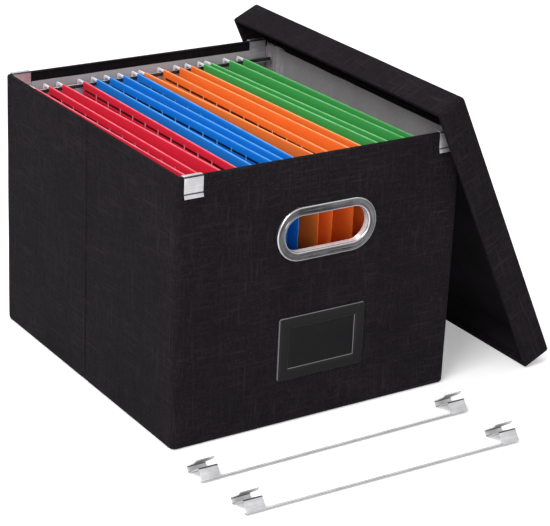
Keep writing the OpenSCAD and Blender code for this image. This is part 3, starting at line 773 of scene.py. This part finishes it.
def make_handle(side, name):
    """Buffed ring with its sleeve through the wall, and the plate that holds it inside."""
    deep = -(WALL_T + BACKPLATE_T)
    opening = stadium_outline(GRIP_W, GRIP_H)
    place = on_wall(side, HANDLE_X, HANDLE_Z)
    lip = [(0.0, deep), (0.0, -0.002), (0.0, 0.0006), (0.00015, 0.0013), (0.0005, 0.00185),
           (0.0011, 0.00215), (0.0018, 0.0022), (0.0025, 0.00195), (0.0031, 0.0015)]
    hollow = [(0.0038, 0.0012), (0.0046, 0.00108), (0.0054, 0.00115), (0.0062, 0.00145)]
    rim = [(0.0069, 0.0019), (0.0075, 0.00212), (0.0081, 0.002), (0.0086, 0.0016), (0.0089, 0.001),
           (0.0090, 0.0003), (0.0089, -0.0002)]
    under = [(0.0014, -0.0002), (SLEEVE_T, -0.0006), (SLEEVE_T, deep)]
    ring = piece(name + "_handle_ring", *swept(opening, lip + hollow + rim + under, place), "box",
                 [CHROME, SLEEVE], "bezel", [name + "_handle_bezel"], sharp=50)
    # The sleeve's faces within the wall get the pale material, a painted reflection.
    for face in ring.data.polygons:
        if side * face.center.y < BOX_D / 2 + 0.0004:
            face.material_index = 1

    a, b = SLEEVE_T + HANDLE_FIT, SLEEVE_T + HANDLE_FIT + BACKPLATE_RING
    near, far = -WALL_T, deep
    section = [(a, near), (a, far + 0.0003), (a + 0.0003, far), (b - 0.0015, far),
               (b - 0.0004, far + 0.0003), (b, far + 0.0008), (b, near)]
    piece(name + "_handle_plate", *swept(opening, section, place), "box", [PLATE], "backplate",
          [name + "_handle_backplate"], sharp=50)


def make_label():
    """Moulded label frame with painted highlights on some of its edges, open at its top, and its clear
    window.
    """
    outline = rect_outline(LABEL_W, LABEL_H, LABEL_R, step=0.004)
    place = on_wall(-1, HANDLE_X, LABEL_Z)
    section = [(0.0, 0.0), (0.0, 0.0009), (0.00018, 0.0013), (0.0006, 0.00158), (0.0012, 0.0016),
               (0.0019, 0.00150), (0.0024, 0.00128), (0.0032, 0.00122), (0.0086, 0.00122), (0.0093, 0.0013),
               (0.0098, 0.0015), (0.0104, 0.0016), (0.0110, 0.0015), (0.0114, 0.0012), (0.0115, 0.0009),
               (0.0068, 0.0009), (0.0066, 0.0)]
    loops = []
    for depth, height in section:
        loop = []
        for p in outline:
            x, z = inset_point(p, depth, LABEL_W, LABEL_H, LABEL_R)
            at_top = p[1] > LABEL_H / 2 - 0.0001 and abs(p[0]) < POCKET_HALF_W
            loop.append(place(x, z, max(height, POCKET_DEPTH) if at_top else height))
        loops.append(loop)
    holder = piece("label_holder", *skin(loops, True), "box", [LABEL, LABEL_EDGE_HIGHLIGHT], "label_frame",
                   ["label_frame"], sharp=40)
    inner_w, inner_h = LABEL_W / 2 - LABEL_BORDER, LABEL_H / 2 - LABEL_BORDER
    # Painted highlight: the outer top and left edges and the window's right and bottom edges get the pale
    # material.
    for face in holder.data.polygons:
        x, z = face.center.x - HANDLE_X, face.center.z - LABEL_Z
        outer = x < 0.0008 - LABEL_W / 2 or z > LABEL_H / 2 - 0.0008
        near_window = abs(x) < inner_w + 0.0005 and abs(z) < inner_h + 0.0005
        if outer or near_window and (x > inner_w - 0.0004 or z < 0.0004 - inner_h):
            face.material_index = 1

    w = LABEL_W - 2 * LABEL_BORDER + 2 * WINDOW_LAP
    h = LABEL_H - 2 * LABEL_BORDER + 2 * WINDOW_LAP
    sheet = [(x, z) for x, z, _, _ in rect_outline(w, h, WINDOW_R, step=0.02, arc=3)]
    piece("label_clear_sheet", *extruded(sheet, WINDOW_BACK, WINDOW_FRONT, place), "box", [WINDOW],
          "label_window", ["label_window"], sharp=40)


# Rails

def clip_path():
    """Middle line of a clip's metal from its shelf, over the wall, to its flared lip."""
    half = CLIP_T / 2
    r, top, leg_low = BEND_R - half, CLIP_RISE, CLIP_RISE - OUTER_LEG
    path = [(-BAR_T / 2, half)]
    path += arc_points(SHELF_LEN - BEND_R, BEND_R, r, 270, 360, 5)
    path += arc_points(SHELF_LEN - CLIP_T + BEND_R, top - BEND_R, r, 180, 90, 5)
    path += arc_points(LEG_OUT - BEND_R, top - BEND_R, r, 90, 0, 5)
    path += [(LEG_OUT - half, leg_low + LIP_LEN + 0.0008),
             (LEG_OUT - half + 0.0002, leg_low + LIP_LEN - 0.0006),
             (LEG_OUT - half + LIP_FLARE, leg_low)]
    return path


BEND_IN = BEND_R * 0.3
# Bend lines of a clip; make_rail lays a painted dark reflection on the faces along them.
FOLD_LINES = (
    (SHELF_LEN - BEND_IN, BEND_IN), (SHELF_LEN - CLIP_T + BEND_IN, CLIP_RISE - BEND_IN),
    (LEG_OUT - BEND_IN, CLIP_RISE - BEND_IN), (LEG_OUT, CLIP_RISE - OUTER_LEG + LIP_LEN),
)


def ribbon(path, t):
    """Closed outline of a strip of thickness t along a path."""
    sides = ([], [])
    for k, (a, b) in enumerate(path):
        a0, b0 = path[max(k - 1, 0)]
        a1, b1 = path[min(k + 1, len(path) - 1)]
        run = math.hypot(a1 - a0, b1 - b0)
        na, nb = -(b1 - b0) / run, (a1 - a0) / run
        sides[0].append((a + na * t / 2, b + nb * t / 2))
        sides[1].append((a - na * t / 2, b - nb * t / 2))
    return sides[0] + sides[1][::-1]


def make_rail(name, body, place):
    """Bar and two clips; place maps (along the rail, from the bar to the wall, up) to the frame."""
    half = BAR_T / 2
    low, high = CLIP_T, CLIP_T + BAR_H
    bar = [(-half, low), (half, low), (half, high), (-half, high)]
    verts, faces = extruded(bar, -RAIL_LEN / 2, RAIL_LEN / 2, lambda a, b, c: place @ Vector((c, a, b)))
    strip = piece(name + "_strip", verts, faces, body, [RAIL, RAIL_DARK_REFLECTION], "rail_metal", [name + "_bar"],
                  bevel=0.00045)
    # The bar's face turned away from the wall gets the painted dark reflection.
    back = (place.to_3x3() @ Vector((0, -1, 0))).normalized()
    for face in strip.data.polygons:
        if face.normal.dot(back) > 0.9:
            face.material_index = 1
    section = ribbon(clip_path(), CLIP_T)
    folds = [place @ Vector((0, a, b)) for a, b in FOLD_LINES]
    parts = []
    for x0 in (-RAIL_LEN / 2, RAIL_LEN / 2 - CLIP_W):
        parts.append(extruded(section, x0, x0 + CLIP_W, lambda a, b, c: place @ Vector((c, a, b))))
    clips = piece(name + "_clip_pair", *join(parts), body, [RAIL, RAIL_DARK_REFLECTION], "rail_metal",
                  [name + "_clips"], bevel=0.00018)
    # Faces along the clips' bends get the painted dark reflection.
    along = (place.to_3x3() @ Vector((1, 0, 0))).normalized()
    for face in clips.data.polygons:
        offsets = [face.center - fold for fold in folds]
        if min((off - along * off.dot(along)).length for off in offsets) < BEND_R * 0.75:
            face.material_index = 1


def make_rails():
    """The two rails on the walls and the two spare ones that lie on their backs on the floor."""
    front = Matrix.Translation((-RAIL_SHIFT, -BAR_Y, SHELF_Z)) @ Matrix.Diagonal((1, -1, 1, 1))
    rear = Matrix.Translation((-RAIL_SHIFT, BAR_Y, SHELF_Z))
    make_rail("front_rail", "front_rail", front)
    make_rail("rear_rail", "rear_rail", rear)
    for name, x, y, turn in LOOSE_RAILS:
        place = (
            Matrix.Translation((-x, -BOX_D / 2 - y, LOOSE_DROP))
            @ Matrix.Rotation(math.radians(turn), 4, "Z")
            @ Matrix.Rotation(REST_ANGLE - math.pi, 4, "X")
            @ Matrix.Diagonal((1, -1, 1, 1))
        )
        make_rail(name, name, place)


# Folders

def rod_ends(i, k):
    """Places of rod k of folder i over the front rail and over the rear rail."""
    return FOLDER_RODS[i][k] / 1000 * BOX_W - BOX_W / 2, FOLDER_RODS[i][k + 2] / 1000 * BOX_W - BOX_W / 2


def rod_line(i, k, y):
    front, rear = rod_ends(i, k)
    return (front + rear) / 2 + (rear - front) * y / (2 * BAR_Y)


def panel(x_top, x_low, outward, count=12):
    """Middle line of one outer panel from under its rod to the bottom fold, slightly bowed."""
    top, low = ROD_BOTTOM - 0.0002, FOLDER_BOTTOM + SHEET_T / 2
    points = []
    for k in range(1, count):
        t = k / count
        x = x_top + (x_low - x_top) * t + outward * CARD_BOW * math.sin(math.pi * t)
        points.append((x, top + (low - top) * t))
    return points


def card_line(i, y):
    """Middle line of a folder's card at depth y, from one inner flap to the other."""
    left, right = rod_line(i, 0, y), rod_line(i, 1, y)
    fold = (left + right) / 2
    half, low = FOLD_W / 2 - SHEET_T / 2, FOLDER_BOTTOM + SHEET_T / 2
    flap_low, crown = ROD_BOTTOM - FLAP_LEN, FOLDER_TOP - SHEET_T / 2 - SLEEVE_R
    wave = FLAP_WAVE * noise.noise(Vector((i * FLAP_WAVE_SHIFT, y / FLAP_WAVE_LEN, 0.0)))
    (top_1, low_1), (top_2, low_2) = SLOT_ROWS
    flap = (flap_low, TICK_BOTTOM, low_2, top_2, low_1, top_1, TICK_TOP)
    drift = [wave * max(0.0, TICK_TOP - z) / 0.01 for z in flap]
    line = [(left + SLEEVE_R + d, z) for d, z in zip(drift, flap)]
    line += [(left + a, b) for a, b in arc_points(0, crown, SLEEVE_R, 0, 180, 6)]
    line += [(left - SLEEVE_R, ROD_BOTTOM - 0.0002)]
    line += panel(left - SLEEVE_R, fold - half, -1)
    line += [(fold - half, low + 0.0004), (fold - half + 0.0006, low), (fold + half - 0.0006, low),
             (fold + half, low + 0.0004)]
    line += reversed(panel(right + SLEEVE_R, fold + half, 1))
    line += [(right + SLEEVE_R, ROD_BOTTOM - 0.0002)]
    line += [(right + a, b) for a, b in arc_points(0, crown, SLEEVE_R, 0, 180, 6)]
    line += [(right - SLEEVE_R - d, z) for d, z in reversed(list(zip(drift, flap)))]
    return line


def make_card(i, name, body):
    """One folded card with its two sleeves, two rows of slots and pale ticks in each inner flap."""
    edges = [-SHEET_W / 2]
    for k in range(SLOT_COUNT):
        middle = (k - (SLOT_COUNT - 1) / 2) * SLOT_PITCH
        edges += [middle - SLOT_LEN / 2, middle, middle + SLOT_LEN / 2]
    edges.append(SHEET_W / 2)
    lines = [card_line(i, y) for y in edges]
    n = len(lines[0])
    verts = [Vector((x, y, z)) for y, line in zip(edges, lines) for x, z in line]
    slot_cells, tick_cells = (2, 4, n - 6, n - 4), (1, 2, 3, 4, 5, n - 7, n - 6, n - 5, n - 4, n - 3)
    faces, ticks = [], []
    for row in range(len(edges) - 1):
        bridge = row % 3 == 0
        for k in range(n - 1):
            if k in slot_cells and not bridge:
                continue
            if k in tick_cells and bridge and 0 < row < len(edges) - 2:
                ticks.append(len(faces))
            a, b = row * n + k, (row + 1) * n + k
            faces.append((a, a + 1, b + 1, b))
    mesh = bpy.data.meshes.new(name)
    mesh.from_pydata([tuple(v) for v in verts], [], faces)
    for material in CARDS[name.split("_")[1]]:
        mesh.materials.append(material)
    for f in ticks:
        mesh.polygons[f].material_index = 1
    card = link_object(name + "_card", mesh)
    shell = card.modifiers.new("card", "SOLIDIFY")
    shell.thickness = SHEET_T
    shell.offset = 0.0
    shell.use_even_offset = True
    apply_modifiers(card)
    card.data.shade_smooth()
    card.data.set_sharp_from_angle(angle=math.radians(40))
    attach(card, body)
    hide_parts(name + "_sheet")


def hook_outline():
    """Side of a coated hook: arm over the rail and outer leg, with rounded corners."""
    end, leg_low = HOOK_LEN - ROD_OUT, NOTCH_Z - HOOK_LEG
    points = arc_points(0.0008, leg_low + 0.0008, 0.0008, 180, 270, 3)
    points += arc_points(HOOK_LEG_W - 0.0009, leg_low + 0.0009, 0.0009, 270, 350, 3)
    points += [(HOOK_LEG_W + HOOK_SLOPE - 0.0004, NOTCH_Z - 0.0010),
               (HOOK_LEG_W + HOOK_SLOPE + 0.0004, NOTCH_Z)]
    points += [(end, NOTCH_Z), (end, ROD_TOP)]
    points += arc_points(HOOK_LEG_W / 2 + 0.0004, ROD_TOP - 0.0016, 0.0016, 90, 130, 3)
    points += [(0.0, ROD_TOP - HOOK_LEG_W / 2 - 0.0003)]
    return points


def rod_end_place(rod_frame, side):
    """Places (inwards from a rod's end, up, across) at the front end, or the rear end for side 1."""
    def place(inwards, up, across):
        return rod_frame @ Vector((across, side * (ROD_LEN / 2 - inwards), up))
    return place


def make_hooks(i, name, body):
    """The four coated hooks of a folder, two on each rod."""
    parts = []
    for k in (0, 1):
        front, rear = rod_ends(i, k)
        turn = math.atan2(front - rear, 2 * BAR_Y)
        rod_frame = Matrix.Translation(((front + rear) / 2, 0, 0)) @ Matrix.Rotation(turn, 4, "Z")
        for side in (-1, 1):
            place = rod_end_place(rod_frame, side)
            parts.append(extruded(hook_outline(), -HOOK_T / 2, HOOK_T / 2, place))
    piece(name + "_hook_tips", *join(parts), body, [HOOK], "hook_coating", [name + "_hooks"], bevel=0.0005)


# Lid

def lid_point(x, y, z):
    """Point of the lid's cloth: slow unevenness of the panel, soft edges along the rim boards."""
    if z > RIM_H - 0.0002:
        z += ripple((x, y, z), PANEL_WAVE, PANEL_WAVE_DEPTH) - PANEL_SINK
    elif abs(x) > LID_W / 2 - ON_FACE:
        x += math.copysign(ripple((x, y, z), RIM_WAVE, RIM_WAVE_DEPTH) - RIM_SINK, x)
    elif abs(y) > LID_D / 2 - ON_FACE:
        y += math.copysign(ripple((x, y, z), RIM_WAVE, RIM_WAVE_DEPTH) - RIM_SINK, y)
    return LID_PLACE @ Vector((x, y, z))


def make_lid():
    """Cloth of the lid over its panel and rim, and the cloth inside it."""
    outline = rect_outline(LID_W, LID_D, LID_R, step=0.004)
    hem_depth, hem_top, edge_r = LID_T + 0.0003, 0.008, 0.0012
    profile = [(LID_T - 0.0003, hem_top - 0.0003), (hem_depth - 0.0001, hem_top),
               (hem_depth, hem_top - 0.0006)]
    profile += arc_points(hem_depth - edge_r, edge_r - 0.0003, edge_r, 0, -90, 4)
    profile += arc_points(edge_r, edge_r - 0.0003, edge_r, 270, 180, 4)
    profile += [(0.0, z) for z in steps(edge_r, RIM_H - FOOT_R, 0.004)]
    profile += arc_points(FOOT_R, RIM_H - FOOT_R, FOOT_R, 180, 90, 5)
    profile += to_centre(FOOT_R + 0.001, LID_W, LID_D, RIM_H)
    profile += list(reversed(to_centre(FOOT_R + 0.001, LID_W, LID_D, RIM_H - COVER_T)))
    profile += [(COVER_T, RIM_H - FOOT_R), (COVER_T, 0.0012), (LID_T - 0.0003, 0.0012)]
    loops = rings(outline, LID_W, LID_D, LID_R, profile, lid_point)
    piece("lid_cloth", *skin(loops, True), "lid", [LID_CLOTH], "cover_cloth", ["lid_cover"], sharp=60)

    panel_z = RIM_H - LID_T
    profile = [(LID_T, 0.007), (LID_T, panel_z - 0.0015), (LID_T + 0.0005, panel_z - 0.0005),
               (LID_T + 0.0015, panel_z)]
    profile += to_centre(LID_T + 0.002, LID_W, LID_D, panel_z)
    profile += list(reversed(to_centre(LID_T + 0.002, LID_W, LID_D, panel_z + 0.0005)))
    profile += [(LID_T - 0.0005, panel_z + 0.0005), (LID_T - 0.0005, 0.007)]
    loops = rings(outline, LID_W, LID_D, LID_R, profile, lambda x, y, z: LID_PLACE @ Vector((x, y, z)))
    piece("lid_inside_cloth", *skin(loops, True), "lid", [LID_LINING], "lid_lining_cloth",
          ["lid_lining"], sharp=60)


def dress_solids():
    """Gives the boards and rods, which keep their solids' shape, their finish; the rods' dark finish is
    painted shade.
    """
    finishes = {"lid_board": BOARD, "lid_rim_boards": BOARD, "base_board": FLOOR_BOARD}
    for end in ("front", "rear"):
        finishes[end + "_board"] = BOARD
        for side in ("left", "right"):
            finishes[side + "_" + end + "_board"] = BOARD
    # The rods' dark material is painted shade.
    for name in FOLDER_NAMES:
        finishes["folder_" + name + "_rods"] = ROD
    for name, material in finishes.items():
        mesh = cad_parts[name].data
        mesh.materials.clear()
        mesh.materials.append(material)


# Camera, light and floor

CAMERA_PLACE = Vector((-0.9893, -1.5623, 0.85785))
CAMERA_AZIMUTH, CAMERA_ELEVATION, CAMERA_ROLL = (math.radians(v) for v in (-33.947, 22.376, 2.633))
FOCAL_PIXELS, IMAGE_WIDTH, SENSOR = 2004.0, 550, 36.0
FILL_STRENGTH, FLOOR_GLOW = 0.55, 0.30
FLOOR_HALF, FLOOR_DROP = 6, 0.0002
PAPER_DARK, PAPER_LIGHT, WHITE = (0.93, 0.93, 0.93, 1), (0.96, 0.96, 0.96, 1), (1, 1, 1, 1)
LAMP_AIM = Vector((0, 0, 0.15))
LAMPS = (
    ("key_light", (-1.3, -0.8, 2.0), 1.0, 36), ("low_light", (-0.9, -2.4, 0.8), 0.9, 12),
    ("rear_light", (0.1, 1.1, 1.9), 1.0, 12),
)


def make_camera():
    """Camera at the photograph's place, turned by its azimuth, elevation and roll."""
    forward = Vector((
        -math.sin(CAMERA_AZIMUTH) * math.cos(CAMERA_ELEVATION),
        math.cos(CAMERA_AZIMUTH) * math.cos(CAMERA_ELEVATION),
        -math.sin(CAMERA_ELEVATION),
    ))
    level = forward.cross(Vector((0, 0, 1))).normalized()
    upright = level.cross(forward)
    right = level * math.cos(CAMERA_ROLL) + upright * math.sin(CAMERA_ROLL)
    up = upright * math.cos(CAMERA_ROLL) - level * math.sin(CAMERA_ROLL)
    camera = bpy.data.cameras.new("camera")
    camera.sensor_width = SENSOR
    camera.lens = FOCAL_PIXELS / IMAGE_WIDTH * SENSOR
    camera.clip_start, camera.clip_end = 0.01, 20.0
    obj = link_object("camera", camera)
    turn = Matrix((right, up, -forward)).transposed()
    obj.matrix_world = Matrix.Translation(CAMERA_PLACE) @ turn.to_4x4()
    bpy.context.scene.camera = obj


def make_lamps():
    for name, place, size, watts in LAMPS:
        lamp = bpy.data.lights.new(name, "AREA")
        lamp.size = size
        lamp.energy = watts
        obj = link_object(name, lamp)
        obj.location = place
        obj.rotation_euler = (LAMP_AIM - Vector(place)).to_track_quat("-Z", "Y").to_euler()


def seen_rays(tree):
    """1 for rays that show the background: to the camera, off metal and through glass."""
    rays = node(tree, "LightPath").outputs
    mirrored = calc(tree, "MAXIMUM", rays["Is Glossy Ray"], rays["Is Transmission Ray"])
    return calc(tree, "MAXIMUM", rays["Is Camera Ray"], mirrored)


def make_world():
    """Soft fill light all round, white where the camera, metal or glass looks past the floor."""
    world = bpy.data.worlds.new("studio")
    bpy.context.scene.world = world
    world.use_nodes = True
    tree = world.node_tree
    tree.nodes.clear()
    seen = seen_rays(tree)
    fill = node(tree, "Background", None, Color=WHITE, Strength=FILL_STRENGTH)
    white = node(tree, "Background", None, Color=WHITE, Strength=1.0)
    mixed = node(tree, "MixShader", None, Fac=seen)
    tree.links.new(fill.outputs[0], mixed.inputs[1])
    tree.links.new(white.outputs[0], mixed.inputs[2])
    end = tree.nodes.new("ShaderNodeOutputWorld")
    tree.links.new(mixed.outputs[0], end.inputs["Surface"])


def make_floor():
    """Pale paper that keeps the object's shadow and glows towards the camera, metal and glass."""
    corners = [(x * FLOOR_HALF, y * FLOOR_HALF, 0) for x, y in ((-1, -1), (1, -1), (1, 1), (-1, 1))]
    mesh = bpy.data.meshes.new("floor")
    mesh.from_pydata(corners, [], [(0, 1, 2, 3)])
    floor = link_object("floor", mesh)
    floor.location.z = -FLOOR_DROP
    material, tree, shader, place = new_material("floor_paper", 0.9, specular=0.1)
    tone = blend_colour(tree, grain_noise(tree, place, 3.0), PAPER_DARK, PAPER_LIGHT)
    feed(tree, shader.inputs["Base Color"], tone)
    feed(tree, shader.inputs["Emission Strength"], calc(tree, "MULTIPLY", seen_rays(tree), FLOOR_GLOW))
    shader.inputs["Emission Color"].default_value = WHITE
    mesh.materials.append(material)


bpy.context.scene.view_settings.view_transform = "Standard"
make_camera()
make_world()
make_floor()
make_lamps()
make_box_cover()
make_hem()
make_base_cover()
make_lining()
make_handle(-1, "front")
make_handle(1, "rear")
make_label()
make_rails()
for index, folder_name in enumerate(FOLDER_NAMES):
    make_card(index, "folder_" + folder_name, "folder_" + folder_name)
    make_hooks(index, "folder_" + folder_name, "folder_" + folder_name)
make_lid()
dress_solids()
